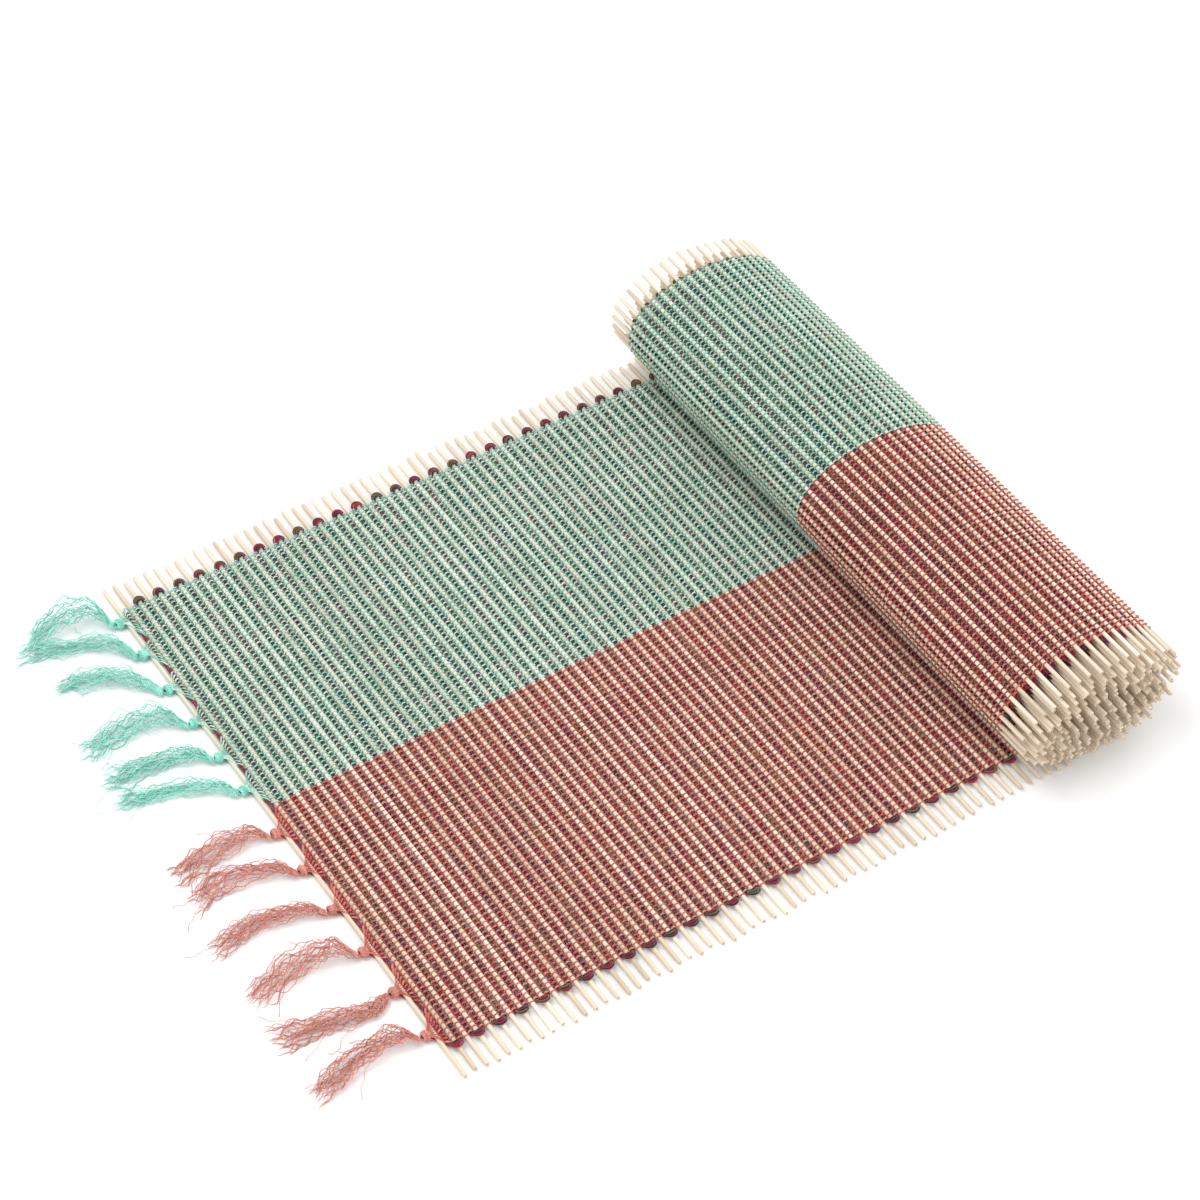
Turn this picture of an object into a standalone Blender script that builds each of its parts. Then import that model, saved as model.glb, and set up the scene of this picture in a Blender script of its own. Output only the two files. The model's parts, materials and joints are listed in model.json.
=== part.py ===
"""A table runner of bamboo sticks woven with cotton, lying partly unrolled.

+X runs along the runner from its tasselled end to the roll, +Y along the sticks, and +Z up from
the table. Teal warps cover the +Y half and red warps the -Y half. The far end is rolled up on top
of the laid part, so the outside of the roll is the underside of the weave. The origin is at the
middle of the whole piece, on the table.

Lengths are in metres. A place along the woven band is its distance from the bare end stick, and
runner_point says where in the XZ plane the band's middle line is at that distance.
"""

import math

import bmesh
import bpy
import numpy as np
from mathutils import Vector

# Sticks, and the weave that holds them
STICK_LENGTH = 0.330
STICK_DIAMETER = 0.0021
STICK_PITCH = 0.00535
WEAVE_WIDTH = 0.298
SEAM_Y = 0.006  # where the teal warps meet the red ones
WARP_THICKNESS = 0.0003
CLEARANCE = 0.0003  # kept between pieces that touch
JOINT_GAP = 0.0008  # kept between neighbouring stretches that bend against each other

# The laid part: the end strip is the first, and the last one lies under the roll
FLAT_STRIPS = 5
STICKS_PER_STRIP = 12

# The roll, over all
ROLL_WIDTH = 0.0900
ROLL_HEIGHT = 0.0590
ROLL_FLATNESS = 4  # how sharply the flatter top and bottom turn into the round sides
UNROLL_JOINTS = 3  # hinges that open out the outer half turn
ROLL_TUCK_ANGLE = math.radians(30)  # how far past the bottom the modelled outer turn goes on
CORE_INSET_LAYERS = 2  # layers of the weave outside the plain inner turns
CORE_FACETS = 48

# Tassels
TEAL_KNOTS_Y = (0.0201, 0.0432, 0.0675, 0.0921, 0.1175, 0.1410)
RED_KNOTS_Y = (-0.0095, -0.0340, -0.0600, -0.0870, -0.1125, -0.1390)
TEAL_LEAN = 0.016  # how far a tassel's tip lies towards +Y from its knot
RED_LEAN = 0.004
TASSEL_REACH = 0.0560  # from the end stick's middle to the tassel's tip
TASSEL_WIDTH = 0.0105
KNOT_SIZE = 0.0048
TASSEL_SIDES = 8

STICK_RADIUS = STICK_DIAMETER / 2
SLEEVE_INNER = STICK_RADIUS + CLEARANCE
SLEEVE_OUTER = SLEEVE_INNER + WARP_THICKNESS
LAYER_PITCH = 2 * SLEEVE_OUTER + CLEARANCE
LAID_STICKS = FLAT_STRIPS * STICKS_PER_STRIP + 1  # the end strip holds one more than the others
TOUCHDOWN = (LAID_STICKS + 0.5) * STICK_PITCH  # where the band leaves the table
HALF_TURN = math.pi
TURN = 2 * math.pi

TEAL = (0.36, 0.72, 0.60)
RED = (0.50, 0.10, 0.08)
BAMBOO = (0.78, 0.68, 0.50)


def oval_curvature():
    """The end radius and the extra radius at top and bottom of the roll's starting oval."""
    half_width = (ROLL_WIDTH + LAYER_PITCH) / 2 - SLEEVE_OUTER
    half_height = (ROLL_HEIGHT + LAYER_PITCH / 2) / 2 - SLEEVE_OUTER
    rise = 1 / (2 * ROLL_FLATNESS + 1)
    reach = math.prod(2 * k / (2 * k + 1) for k in range(1, ROLL_FLATNESS + 1))
    extra = (half_width - half_height) / (reach - rise)
    return half_height - extra * rise, extra


END_RADIUS, EXTRA_RADIUS = oval_curvature()


def band_radius(angle):
    """Radius of the band's bend where its direction has turned by this angle from +X."""
    flat = np.abs(np.cos(angle)) ** (2 * ROLL_FLATNESS)
    return END_RADIUS - LAYER_PITCH * angle / TURN + EXTRA_RADIUS * flat


def rolled_band():
    """Turning angle, distance from touchdown, and X and Z from the touchdown, as four arrays."""
    angle = np.linspace(0, TURN + 2 * ROLL_TUCK_ANGLE, 4000)
    step = angle[1] - angle[0]
    middle = angle[:-1] + step / 2
    run = band_radius(middle) * step
    columns = [run, run * np.cos(middle), run * np.sin(middle)]
    return angle, *(np.concatenate([[0], np.cumsum(column)]) for column in columns)


BAND_ANGLE, BAND_LENGTH, BAND_X, BAND_Z = rolled_band()
OVERALL_START = -TASSEL_REACH
OVERALL_END = TOUCHDOWN + BAND_X.max() + SLEEVE_OUTER
START_X = -(OVERALL_START + OVERALL_END) / 2  # puts the middle of the whole piece at X = 0


def runner_point(distance):
    """(x, z, turning angle) of the band's middle line at this distance from the end stick."""
    if distance <= TOUCHDOWN:
        return START_X + distance, SLEEVE_OUTER, 0.0
    along = distance - TOUCHDOWN
    x = START_X + TOUCHDOWN + np.interp(along, BAND_LENGTH, BAND_X)
    z = SLEEVE_OUTER + np.interp(along, BAND_LENGTH, BAND_Z)
    return float(x), float(z), float(np.interp(along, BAND_LENGTH, BAND_ANGLE))


def distance_at(angle):
    return TOUCHDOWN + float(np.interp(angle, BAND_ANGLE, BAND_LENGTH))


def material(name, colour, roughness):
    made = bpy.data.materials.new(name)
    made.use_nodes = True
    shader = made.node_tree.nodes["Principled BSDF"]
    shader.inputs["Base Color"].default_value = (*colour, 1.0)
    shader.inputs["Roughness"].default_value = roughness
    shader.inputs["Metallic"].default_value = 0.0
    return made


def axis_empty(name, x, z, y=0.0):
    empty = bpy.data.objects.new(name, None)
    empty.location = (x, y, z)
    empty.empty_display_size = 0.02
    bpy.context.scene.collection.objects.link(empty)
    return empty


def finish_object(name, mesh, colour, roughness, parent):
    """Turns the bmesh into a named object whose origin is on its parent's axis."""
    bmesh.ops.recalc_face_normals(mesh, faces=mesh.faces)
    place = Vector(parent.location) if parent else Vector((0, 0, 0))
    bmesh.ops.translate(mesh, verts=mesh.verts, vec=-place)
    data = bpy.data.meshes.new(name)
    mesh.to_mesh(data)
    mesh.free()
    obj = bpy.data.objects.new(name, data)
    bpy.context.scene.collection.objects.link(obj)
    obj.parent = parent
    obj.data.materials.append(material(name, colour, roughness))
    return obj


def hexagon(distance):
    """A stick's six corners in the XZ plane, with a flat side facing each neighbour."""
    x, z, turned = runner_point(distance)
    angles = [turned + math.radians(30 + 60 * k) for k in range(6)]
    return [(x + STICK_RADIUS * math.cos(a), z + STICK_RADIUS * math.sin(a)) for a in angles]


def slats(name, sticks, parent):
    """The sticks with these numbers, joined over the woven width by the weft picks between them."""
    mesh = bmesh.new()
    stations = (-STICK_LENGTH / 2, -WEAVE_WIDTH / 2, WEAVE_WIDTH / 2, STICK_LENGTH / 2)
    before = None
    for number in sticks:
        corners = hexagon(number * STICK_PITCH)
        rings = [[mesh.verts.new((x, y, z)) for x, z in corners] for y in stations]
        mesh.faces.new(rings[0])
        mesh.faces.new(rings[-1])
        for part in range(3):
            for k in range(6):
                woven = part == 1
                joins_next = k == 5 and number != sticks[-1]
                joins_last = k == 2 and before is not None
                if woven and (joins_next or joins_last):
                    continue
                near, far = rings[part], rings[part + 1]
                mesh.faces.new((near[k], near[(k + 1) % 6], far[(k + 1) % 6], far[k]))
        if before is not None:
            for old, new in ((0, 2), (5, 3)):
                mesh.faces.new((before[1][old], rings[1][new], rings[2][new], before[2][old]))
            for station in (1, 2):
                old, new = before[station], rings[station]
                mesh.faces.new((old[0], new[2], new[3], old[5]))
        before = rings
    return finish_object(name, mesh, BAMBOO, 0.5, parent)


def offset_line(points, offset):
    """The polyline moved sideways, each stretch staying parallel at exactly this offset."""
    moved = []
    for k, (x, z) in enumerate(points):
        ways = []
        for a, b in ((k - 1, k), (k, k + 1)):
            if 0 <= a and b < len(points):
                way = Vector((points[b][0] - points[a][0], points[b][1] - points[a][1]))
                ways.append(way.normalized())
        mean = (ways[0] + ways[-1]).normalized()
        reach = offset / mean.dot(ways[0])
        moved.append((x - mean.y * reach, z + mean.x * reach))
    return moved


def trimmed(points, margin):
    """The polyline with this much taken off each end."""
    first, last = Vector(points[0]), Vector(points[-1])
    first += (Vector(points[1]) - first).normalized() * margin
    last += (Vector(points[-2]) - last).normalized() * margin
    return [tuple(first), *points[1:-1], tuple(last)]


def open_sleeve(name, outer, inner, colour, y_range, parent):
    """A flat tube along Y between two closed loops of XZ points, open at both sides."""
    mesh = bmesh.new()
    rings = [[[mesh.verts.new((x, y, z)) for x, z in loop] for loop in (outer, inner)] for y in y_range]
    for k in range(len(outer)):
        after = (k + 1) % len(outer)
        for loop in (0, 1):
            near, far = rings[0][loop], rings[1][loop]
            mesh.faces.new((near[k], near[after], far[after], far[k]))
        for outside, within in rings:
            mesh.faces.new((outside[k], outside[after], within[after], within[k]))
    return finish_object(name, mesh, colour, 0.9, parent)


def warp_sleeve(name, line, colour, y_range, parent):
    """Warps over and under a stretch: a flat sleeve around its sticks."""
    inside = trimmed(line, WARP_THICKNESS)
    outer = offset_line(line, -SLEEVE_OUTER) + offset_line(line, SLEEVE_OUTER)[::-1]
    inner = offset_line(inside, -SLEEVE_INNER) + offset_line(inside, SLEEVE_INNER)[::-1]
    return open_sleeve(name, outer, inner, colour, y_range, parent)


def warps(name, line, parent):
    """The teal and the red warps of one stretch, side by side."""
    teal_side = (SEAM_Y + CLEARANCE / 2, WEAVE_WIDTH / 2 - CLEARANCE)
    red_side = (-WEAVE_WIDTH / 2 + CLEARANCE, SEAM_Y - CLEARANCE / 2)
    warp_sleeve(f"{name}_warp_teal", line, TEAL, teal_side, parent)
    warp_sleeve(f"{name}_warp_red", line, RED, red_side, parent)


def stretch_line(start, end, sticks):
    """The band's middle line over a stretch: only its ends where it is flat, and every stick beyond."""
    places = [start, *(number * STICK_PITCH for number in sticks), end]
    kept = [p for p in places if p in (start, end) or p > TOUCHDOWN - STICK_PITCH]
    return [runner_point(place)[:2] for place in kept]


def stretch(name, sticks, parent, start=None):
    """One stretch of the band: its sticks with their weft, and its two fields of warps."""
    begin = start if start is not None else (sticks[0] - 0.5) * STICK_PITCH + JOINT_GAP / 2
    end = (sticks[-1] + 0.5) * STICK_PITCH - JOINT_GAP / 2
    slats(f"{name}_slats", sticks, parent)
    warps(name, stretch_line(begin, end, sticks), parent)


def end_stick(parent):
    """The bare stick that the warps are gathered over before their knots."""
    mesh = bmesh.new()
    for y in (-STICK_LENGTH / 2, STICK_LENGTH / 2):
        mesh.faces.new([mesh.verts.new((x, y, z)) for x, z in hexagon(0)])
    bmesh.ops.bridge_loops(mesh, edges=mesh.edges[:])
    return finish_object("end_stick", mesh, BAMBOO, 0.5, parent)


def flat_strips():
    """The laid part, from the stretch under the roll out to the end strip and its bare stick."""
    parent = None
    for number in range(FLAT_STRIPS, 0, -1):
        first = (number - 1) * STICKS_PER_STRIP + 2
        sticks = list(range(first, first + STICKS_PER_STRIP))
        if number == FLAT_STRIPS:
            sticks += range(sticks[-1] + 1, WRAP_STARTS[0])
            stretch("laid_strip", sticks, None)
            continue
        fold = axis_empty(f"fold_{number}", *fold_axis(sticks[-1]))
        hang_from(fold, parent)
        parent = fold
        if number > 1:
            stretch(f"strip_{number}", sticks, fold)
            continue
        stretch("end_strip", [1, *sticks], fold, start=STICK_RADIUS + CLEARANCE)
        end_stick(fold)
    return parent


def fold_axis(last_stick):
    """A fold's axis: on the band's upper face, halfway between two sticks."""
    x, z, _ = runner_point((last_stick + 0.5) * STICK_PITCH)
    return x, z + SLEEVE_OUTER


def hang_from(empty, parent):
    """Parents one joint's empty to another's, its location still counted from the world's origin."""
    if parent is not None:
        empty.parent = parent
        empty.matrix_parent_inverse.translation = -parent.location


def wrap_starts():
    """The first stick of each opening stretch, the last being the roll's own first stick."""
    step = HALF_TURN / UNROLL_JOINTS
    places = [distance_at((k + 0.5) * step) for k in range(UNROLL_JOINTS)]
    return [math.ceil(place / STICK_PITCH) for place in places]


WRAP_STARTS = wrap_starts()


def unroll_axes():
    """(x, z, opening angle) of each hinge, where the tangents at two stretches' middles meet."""
    edges = [(number - 0.5) * STICK_PITCH for number in WRAP_STARTS]
    middles = [TOUCHDOWN, *((a + b) / 2 for a, b in zip(edges, edges[1:])), distance_at(HALF_TURN)]
    axes = []
    for before, after in zip(middles, middles[1:]):
        x0, z0, turned0 = runner_point(before)
        x1, z1, turned1 = runner_point(after)
        opening = turned1 - turned0
        along = ((x1 - x0) * math.sin(turned1) - (z1 - z0) * math.cos(turned1)) / math.sin(opening)
        axes.append((x0 + along * math.cos(turned0), z0 + along * math.sin(turned0), opening))
    return axes


def opening_turn():
    """The stretches of the outer half turn that open out, and the roll that they carry."""
    parent = None
    last_stick = int(distance_at(TURN + ROLL_TUCK_ANGLE) / STICK_PITCH)
    starts = [*WRAP_STARTS, last_stick + 1]
    for number, (x, z, _) in enumerate(unroll_axes(), start=1):
        hinge = axis_empty(f"unroll_{number}", x, z)
        hang_from(hinge, parent)
        parent = hinge
        sticks = list(range(starts[number - 1], starts[number]))
        stretch(f"wrap_{number}" if number < UNROLL_JOINTS else "roll", sticks, hinge)
    return parent


def oval(inset):
    """The roll's starting oval moved inwards by this much, as points in the XZ plane."""
    angle = np.linspace(0, TURN, CORE_FACETS, endpoint=False)
    fine = np.linspace(0, TURN, 50 * CORE_FACETS + 1)
    middle = (fine[1:] + fine[:-1]) / 2
    flat = np.abs(np.cos(middle)) ** (2 * ROLL_FLATNESS)
    run = (END_RADIUS - inset + EXTRA_RADIUS * flat) * (fine[1] - fine[0])
    x = np.interp(angle, fine, np.concatenate([[0], np.cumsum(run * np.cos(middle))]))
    z = np.interp(angle, fine, np.concatenate([[0], np.cumsum(run * np.sin(middle))]))
    return [(START_X + TOUCHDOWN + a, SLEEVE_OUTER + inset + b) for a, b in zip(x, z)]


def inner_turns(parent):
    """The inner turns as one plain oval body of sticks with a ring of each colour around it."""
    inset = CORE_INSET_LAYERS * LAYER_PITCH
    skin = oval(inset - SLEEVE_OUTER)
    lining = oval(inset - SLEEVE_INNER)
    solid = oval(inset - STICK_RADIUS)
    mesh = bmesh.new()
    for y in (-STICK_LENGTH / 2, STICK_LENGTH / 2):
        mesh.faces.new([mesh.verts.new((x, y, z)) for x, z in solid])
    bmesh.ops.bridge_loops(mesh, edges=mesh.edges[:])
    finish_object("inner_turns_slats", mesh, BAMBOO, 0.5, parent)
    teal_side = (SEAM_Y + CLEARANCE / 2, WEAVE_WIDTH / 2)
    red_side = (-WEAVE_WIDTH / 2, SEAM_Y - CLEARANCE / 2)
    open_sleeve("inner_turns_warp_teal", skin, lining, TEAL, teal_side, parent)
    open_sleeve("inner_turns_warp_red", skin, lining, RED, red_side, parent)


def tassel(name, knot_y, lean, colour, parent):
    """A knotted bunch of warp ends lying on the table, with its knot on the hinge's axis."""
    knot_x = -(STICK_RADIUS + CLEARANCE + KNOT_SIZE / 2)
    hinge = axis_empty(f"{name}_lift", START_X + knot_x, KNOT_SIZE / 2, knot_y)
    hang_from(hinge, parent)
    half_knot = KNOT_SIZE / 2
    half_tip = TASSEL_WIDTH / 2
    knot_end = -knot_x + half_knot
    profile = (
        (-knot_x - half_knot, 0.35 * half_knot, 0.35 * half_knot),
        (-knot_x - 0.5 * half_knot, 0.95 * half_knot, 0.85 * half_knot),
        (-knot_x + 0.4 * half_knot, 1.05 * half_knot, half_knot),
        (knot_end, 0.75 * half_knot, 0.7 * half_knot),
        (knot_end + 0.35 * (TASSEL_REACH - knot_end), 0.8 * half_tip, 0.5 * half_tip),
        (knot_end + 0.75 * (TASSEL_REACH - knot_end), half_tip, 0.42 * half_tip),
        (TASSEL_REACH, 0.85 * half_tip, 0.25 * half_tip),
    )
    mesh = bmesh.new()
    rings = []
    for reach, half_width, half_height in profile:
        share = (reach + knot_x) / (TASSEL_REACH + knot_x)
        y = knot_y + lean * max(share, 0.0)
        z = max(half_height, half_knot * (1 - 3 * max(share, 0.0)))
        angles = [TURN * (k + 0.5) / TASSEL_SIDES for k in range(TASSEL_SIDES)]
        ring = [(y + half_width * math.cos(a), z + half_height * math.sin(a)) for a in angles]
        rings.append([mesh.verts.new((START_X - reach, across, up)) for across, up in ring])
    for near, far in zip(rings, rings[1:]):
        for k in range(TASSEL_SIDES):
            after = (k + 1) % TASSEL_SIDES
            mesh.faces.new((near[k], near[after], far[after], far[k]))
    mesh.faces.new(rings[0])
    mesh.faces.new(rings[-1])
    return finish_object(name, mesh, colour, 0.9, hinge)


def tassels(parent):
    for number, knot_y in enumerate(reversed(TEAL_KNOTS_Y), start=1):
        tassel(f"tassel_teal_{number}", knot_y, TEAL_LEAN, TEAL, parent)
    for number, knot_y in enumerate(RED_KNOTS_Y, start=1):
        tassel(f"tassel_red_{number}", knot_y, RED_LEAN, RED, parent)


def main():
    for obj in list(bpy.data.objects):
        bpy.data.objects.remove(obj)
    end_fold = flat_strips()
    tassels(end_fold)
    roll_hinge = opening_turn()
    inner_turns(roll_hinge)


main()
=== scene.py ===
"""A table runner of bamboo sticks woven with cotton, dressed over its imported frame.

A place on the woven band is given by its distance from the bare end stick, its place across
the band (world Y), and its rise above the band's middle. On the table the rise points up, and in
the roll it points inwards, so the roll shows the underside of the weave.
"""

import json
import math

import bpy
import numpy as np
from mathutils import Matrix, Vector


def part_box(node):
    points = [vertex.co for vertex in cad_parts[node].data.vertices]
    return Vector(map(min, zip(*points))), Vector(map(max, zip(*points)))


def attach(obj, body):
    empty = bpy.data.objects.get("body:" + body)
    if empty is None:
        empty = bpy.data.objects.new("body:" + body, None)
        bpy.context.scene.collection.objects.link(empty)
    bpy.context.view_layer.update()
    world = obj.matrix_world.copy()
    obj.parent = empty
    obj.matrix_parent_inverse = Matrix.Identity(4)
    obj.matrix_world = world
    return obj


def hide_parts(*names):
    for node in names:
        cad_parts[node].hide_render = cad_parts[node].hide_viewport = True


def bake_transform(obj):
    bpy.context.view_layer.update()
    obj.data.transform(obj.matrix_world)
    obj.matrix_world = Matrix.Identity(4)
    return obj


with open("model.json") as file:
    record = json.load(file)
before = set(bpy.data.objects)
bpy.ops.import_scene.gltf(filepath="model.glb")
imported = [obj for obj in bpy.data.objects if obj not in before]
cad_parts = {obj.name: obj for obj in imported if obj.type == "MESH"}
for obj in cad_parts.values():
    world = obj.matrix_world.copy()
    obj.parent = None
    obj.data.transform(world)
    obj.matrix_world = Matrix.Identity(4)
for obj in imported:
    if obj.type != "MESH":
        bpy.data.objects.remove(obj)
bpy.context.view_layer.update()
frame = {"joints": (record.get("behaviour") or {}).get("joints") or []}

bl_info = {
    "name": "Woven Table Runner",
    "version": (1, 0, 0),
    "blender": (4, 5, 0),
    "location": "View3D > Sidebar > Runner",
    "description": "Dresses a stick table runner with woven yarn, knotted tassels and a rolled end",
    "category": "Object",
}

MM = 0.001
TURN = 2 * math.pi

# Measures that the frame gives
END_LOW, END_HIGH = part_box("end_stick")
START_X = (END_LOW.x + END_HIGH.x) / 2
MID_HEIGHT = (END_LOW.z + END_HIGH.z) / 2
STICK_RADIUS = (END_HIGH.z - END_LOW.z) / 2
STICK_LENGTH = END_HIGH.y - END_LOW.y
JOINTS = {joint["name"]: joint for joint in frame["joints"]}
STICKS_PER_STRIP = 12
STRIP_LENGTH = (JOINTS["fold_4"]["pos_m"][0] - JOINTS["fold_1"]["pos_m"][0]) / 3
PITCH = STRIP_LENGTH / STICKS_PER_STRIP
LAID_STICKS = 61
TOUCHDOWN = (LAID_STICKS + 0.5) * PITCH
UNROLL_HINGES = sum(name.startswith("unroll") for name in JOINTS)
WEAVE_LOW, WEAVE_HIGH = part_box("strip_2_warp_red")[0].y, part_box("strip_2_warp_teal")[1].y
SEAM_Y = (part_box("strip_2_warp_red")[1].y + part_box("strip_2_warp_teal")[0].y) / 2

# The roll: its size over all, how its layers lie, and how far its innermost turn stands out upwards
# and sideways from a round one. The skin is what lies outside the band's middle
ROLL_WIDTH = 90 * MM
ROLL_HEIGHT = 59 * MM
ROLL_FLATNESS = 4
LAYER_PITCH = 3.6 * MM
INNER_PITCH = 2.8 * MM
ROLL_TURNS = 7.6
CORE_RISE = 1.0 * MM
CORE_REACH = 18.0 * MM
SKIN = MID_HEIGHT
BAND_STEPS = 30000

# How far the band has turned where the roll's outer stretch ends, and where it starts to slip
# sideways inside the roll
OUTER_END_ANGLE = TURN + math.radians(220)
INNER_SLIP_ANGLE = TURN + math.radians(20)

CREAM = (0.765, 0.655, 0.515)
TAN = (0.48, 0.31, 0.17)
# Pale mint and salmon are the light ends of the warps' tones, reached as painted light where warps rise
# over the sticks; pale mint is also the teal tassels' painted highlight.
PALE_MINT = (0.82, 0.88, 0.80)
SALMON = (0.72, 0.30, 0.22)
# Near-black weft colours: the yarn's own dark dye, made darker still as painted shade in the gaps
# between the sticks.
NIGHT, INK = (0.005, 0.005, 0.007), (0.011, 0.012, 0.022)
PLUM, CRIMSON = (0.08, 0.009, 0.018), (0.30, 0.014, 0.035)
OLIVE, MOSS = (0.07, 0.075, 0.02), (0.17, 0.16, 0.06)
# Pale coral: the painted highlight at the red tassel strands' palest tone.
PAINTED_HIGHLIGHT_CORAL = (0.86, 0.55, 0.46)
SUNLIT = (1.0, 0.93, 0.84)
FINISH_NAMES = {
    "bamboo": "split_bamboo",
    "teal_cotton": "teal_warp_yarn",
    "red_cotton": "red_warp_yarn",
    "weft": "dyed_weft_yarn",
    "teal_fringe": "teal_fringe_yarn",
    "red_fringe": "red_fringe_yarn",
}


class RunnerSizes(bpy.types.PropertyGroup):
    """Sizes of the yarns and sticks."""

    warp_count: bpy.props.IntProperty(
        name="Warps", description="Number of warp yarns across both colours",
        default=216, min=48, max=300,
    )
    teal_width: bpy.props.FloatProperty(
        name="Teal warp width", description="Width of a flattened teal warp",
        default=1.0 * MM, unit="LENGTH",
    )
    red_width: bpy.props.FloatProperty(
        name="Red warp width", description="Width of a flattened red warp",
        default=0.88 * MM, unit="LENGTH",
    )
    warp_height: bpy.props.FloatProperty(
        name="Warp thickness", description="Thickness of a flattened warp",
        default=0.42 * MM, unit="LENGTH",
    )
    weft_width: bpy.props.FloatProperty(
        name="Weft thickness", description="Thickness of the plied weft yarn",
        default=1.15 * MM, unit="LENGTH",
    )
    strand_width: bpy.props.FloatProperty(
        name="Tassel strand", description="Thickness of one tassel strand",
        default=0.42 * MM, unit="LENGTH",
    )
    strands: bpy.props.IntProperty(
        name="Strands", description="Number of strands in a tassel",
        default=25, min=6, max=60,
    )
    stick_stagger: bpy.props.FloatProperty(
        name="Stick stagger", description="How far stick ends differ",
        default=1.1 * MM, unit="LENGTH",
    )


class RunnerColours(bpy.types.PropertyGroup):
    """Colours of the yarns, the sticks and the floor."""

    teal: bpy.props.FloatVectorProperty(
        name="Teal", description="Teal warps", default=(0.285, 0.60, 0.475),
        subtype="COLOR", min=0, max=1,
    )
    teal_fringe: bpy.props.FloatVectorProperty(
        name="Teal tassels", description="Teal strands and knots", default=(0.29, 0.80, 0.665),
        subtype="COLOR", min=0, max=1,
    )
    red_fringe: bpy.props.FloatVectorProperty(
        name="Red tassels", description="Red strands and knots", default=(0.72, 0.27, 0.21),
        subtype="COLOR", min=0, max=1,
    )
    red: bpy.props.FloatVectorProperty(
        name="Red", description="Red warps", default=(0.53, 0.085, 0.07),
        subtype="COLOR", min=0, max=1,
    )
    bamboo: bpy.props.FloatVectorProperty(
        name="Bamboo", description="Bare stick", default=CREAM,
        subtype="COLOR", min=0, max=1,
    )
    floor: bpy.props.FloatVectorProperty(
        name="Floor", description="Table top", default=(0.86, 0.86, 0.86),
        subtype="COLOR", min=0, max=1,
    )


# ---------------------------------------------------------------- the band


def reach_share(flatness):
    """How far the extra radius carries the roll's side out, as a share of it."""
    return 0.5 * math.exp(math.lgamma(0.5) + math.lgamma(flatness + 1) - math.lgamma(flatness + 1.5))


HIGHEST_FLATNESS = 400
FLATNESS_STEPS = np.geomspace(ROLL_FLATNESS, HIGHEST_FLATNESS, 2000)
REACH_STEPS = np.array([reach_share(flatness) for flatness in FLATNESS_STEPS])
RISE_STEPS = 1 / (2 * FLATNESS_STEPS + 1)


def band_radius(angle):
    """Radius of the band's bend where its direction has turned by this angle."""
    half_width = (ROLL_WIDTH + LAYER_PITCH) / 2 - SKIN
    half_height = (ROLL_HEIGHT + LAYER_PITCH / 2) / 2 - SKIN
    extra = (half_width - half_height) / (REACH_STEPS[0] - RISE_STEPS[0])
    turns = angle / TURN
    shrink = LAYER_PITCH * np.minimum(turns, 1) + INNER_PITCH * np.maximum(turns - 1, 0)
    inner = np.clip((turns - 1) / (ROLL_TURNS - 1), 0, 1)
    rise = extra * RISE_STEPS[0] * (1 - inner) + CORE_RISE * inner
    reach = extra * REACH_STEPS[0] * (1 - inner) + CORE_REACH * inner
    flatness = np.interp(-rise / reach, -RISE_STEPS / REACH_STEPS, FLATNESS_STEPS)
    bulge = reach / np.interp(flatness, FLATNESS_STEPS, REACH_STEPS)
    end_radius = half_height - extra * RISE_STEPS[0] - shrink
    return end_radius + bulge * np.abs(np.cos(angle)) ** (2 * flatness)


def rolled_band():
    """Angle, distance from the end stick, X and Z of the rolled part, as four arrays."""
    angle = np.linspace(0, ROLL_TURNS * TURN, BAND_STEPS)
    middle = (angle[1:] + angle[:-1]) / 2
    run = band_radius(middle) * (angle[1] - angle[0])
    steps = (run, run * np.cos(middle), run * np.sin(middle))
    distance, x, z = (np.concatenate([[0], np.cumsum(step)]) for step in steps)
    return angle, TOUCHDOWN + distance, START_X + TOUCHDOWN + x, MID_HEIGHT + z


BAND = rolled_band()
BAND_END = float(BAND[1][-1])


def distance_at(angle):
    """Distance along the band where its direction has turned by this angle."""
    return float(np.interp(angle, BAND[0], BAND[1]))


def middle_line(distance):
    """X, Z and direction angle of the band's middle at these distances."""
    distance = np.asarray(distance, float)
    flat = distance <= TOUCHDOWN
    x = np.where(flat, START_X + distance, np.interp(distance, BAND[1], BAND[2]))
    z = np.where(flat, MID_HEIGHT, np.interp(distance, BAND[1], BAND[3]))
    return x, z, np.where(flat, 0.0, np.interp(distance, BAND[1], BAND[0]))


def on_band(distance, across, rise):
    """Points at these distances, places across and rises, which broadcast together."""
    given = (np.asarray(value, float) for value in (distance, across, rise))
    distance, across, rise = np.broadcast_arrays(*given)
    x, z, angle = middle_line(distance)
    return np.stack([x - rise * np.sin(angle), across, z + rise * np.cos(angle)], axis=-1)


def inward(distance):
    """The direction in which the rise counts."""
    angle = middle_line(distance)[2]
    return np.stack([-np.sin(angle), np.zeros_like(angle), np.cos(angle)], axis=-1)


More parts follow.
